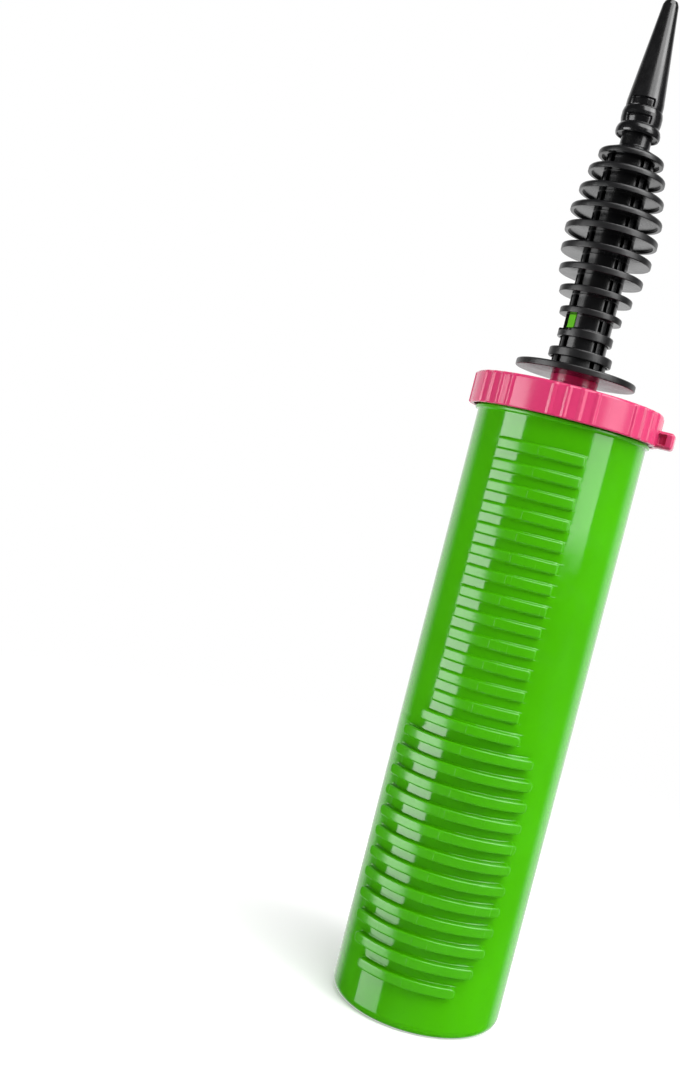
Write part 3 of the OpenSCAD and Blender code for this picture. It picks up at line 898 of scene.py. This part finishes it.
def build_floor():
    """White paper under the pump that fades into the backdrop."""
    size = 6.0
    floor = new_object("floor", [(-size, -size, 0), (size, -size, 0), (size, size, 0), (-size, size, 0)],
                       [(0, 1, 2, 3)])
    material = bpy.data.materials.new("floor_paper")
    material.use_nodes = True
    n = Nodes(material.node_tree)
    where = n.add("ShaderNodeTexCoord").outputs["Object"]
    tone = n.mix(n.noise(where, 3.0), (0.90, 0.90, 0.90, 1), (0.93, 0.93, 0.93, 1))
    surface = n.add("ShaderNodeBsdfPrincipled", {"Base Color": tone, "Roughness": 0.8})
    seen = n.add("ShaderNodeLightPath").outputs["Is Camera Ray"]
    glow = n.add("ShaderNodeEmission", {"Color": (1, 1, 1, 1), "Strength": n.math("MULTIPLY", seen, 0.35)})
    lit = n.add("ShaderNodeAddShader", {0: surface.outputs["BSDF"], 1: glow.outputs["Emission"]})
    reach = n.add("ShaderNodeVectorMath", {0: where}, operation="LENGTH").outputs["Value"]
    fade = n.spread(reach, 0.16, 0.42, 0.0, 1.0)
    clear = n.add("ShaderNodeBsdfTransparent")
    paper = n.add("ShaderNodeMixShader", {0: fade, 1: lit.outputs["Shader"], 2: clear.outputs["BSDF"]})
    output = n.add("ShaderNodeOutputMaterial")
    n.tree.links.new(paper.outputs["Shader"], output.inputs["Surface"])
    floor.data.materials.append(material)
    floor.visible_glossy = False


def build_world():
    """A white backdrop behind the pump in a dim room. The camera itself sees plain white."""
    world = bpy.data.worlds.new("studio")
    bpy.context.scene.world = world
    world.use_nodes = True
    n = Nodes(world.node_tree)
    direction = n.add("ShaderNodeTexCoord").outputs["Generated"]
    behind = n.add("ShaderNodeVectorMath", {0: direction, 1: (-0.174, 0.985, 0.0)}, operation="DOT_PRODUCT")
    level = n.add("ShaderNodeMapRange", {
        "Value": behind.outputs["Value"], "From Min": 0.45, "From Max": 0.75,
        "To Min": 0.05, "To Max": 1.0}, interpolation_type="SMOOTHSTEP").outputs["Result"]
    seen = n.add("ShaderNodeLightPath").outputs["Is Camera Ray"]
    strength = n.add("ShaderNodeMix", {0: seen, 2: level, 3: 1.0}, data_type="FLOAT").outputs[0]
    back = n.add("ShaderNodeBackground", {"Color": (1, 1, 1, 1), "Strength": strength})
    output = n.add("ShaderNodeOutputWorld")
    n.tree.links.new(back.outputs["Background"], output.inputs["Surface"])


def soft_box(name, azimuth, distance, height, width, tall, watts, foot_fade=0.0, mirrored=True):
    """A rectangular soft box aimed at the pump. Azimuth 0 is the camera's side, positive to its right.

    foot_fade is the part of its height, from the foot up, over which it gets brighter. A box that is
    not mirrored lights the pump without showing as a reflection.
    """
    data = bpy.data.lights.new(name, "AREA")
    data.shape = "RECTANGLE"
    data.size = width
    data.size_y = tall
    data.energy = watts
    if foot_fade:
        data.use_nodes = True
        n = Nodes(data.node_tree)
        place = n.add("ShaderNodeNewGeometry").outputs["Parametric"]
        way_up = n.add("ShaderNodeSeparateXYZ", {0: place}).outputs["Y"]
        glow = n.add("ShaderNodeEmission", {"Strength": n.spread(way_up, 0.0, foot_fade, 0.15, 1.0)})
        output = n.add("ShaderNodeOutputLight")
        n.tree.links.new(glow.outputs["Emission"], output.inputs["Surface"])
    lamp = bpy.data.objects.new(name, data)
    lamp.visible_glossy = mirrored
    bpy.context.scene.collection.objects.link(lamp)
    a = math.radians(azimuth + CAMERA_AZIMUTH)
    lamp.location = (distance * math.sin(a), -distance * math.cos(a), height)
    aim = Vector((0, 0, 0.15)) - lamp.location
    lamp.rotation_euler = aim.to_track_quat("-Z", "Y").to_euler()


def build_camera():
    """A close camera, rolled, with its lens shifted sideways."""
    data = bpy.data.cameras.new("camera")
    data.sensor_width = 36.0
    data.lens = CAMERA_LENS
    data.shift_x = CAMERA_SHIFT
    data.clip_start = 0.01
    camera = bpy.data.objects.new("camera", data)
    bpy.context.scene.collection.objects.link(camera)
    a = math.radians(CAMERA_AZIMUTH)
    camera.location = (CAMERA_DISTANCE * math.sin(a), -CAMERA_DISTANCE * math.cos(a), CAMERA_HEIGHT)
    camera.rotation_euler = Euler([math.radians(v) for v in CAMERA_TURN], "XYZ")
    bpy.context.scene.camera = camera


build_floor()
build_world()
soft_box("left_box", -66.0, 1.1, -0.11, 0.74, 1.0, 15.0, 0.4)
soft_box("right_box", 58.0, 1.1, 0.62, 0.62, 1.1, 9.0)
soft_box("key_box", 38.0, 0.62, 1.05, 1.0, 1.0, 16.0)
soft_box("side_fill", 100.0, 1.2, 0.15, 1.2, 1.2, 11.0, mirrored=False)
build_camera()
bpy.context.scene.view_settings.view_transform = "Standard"
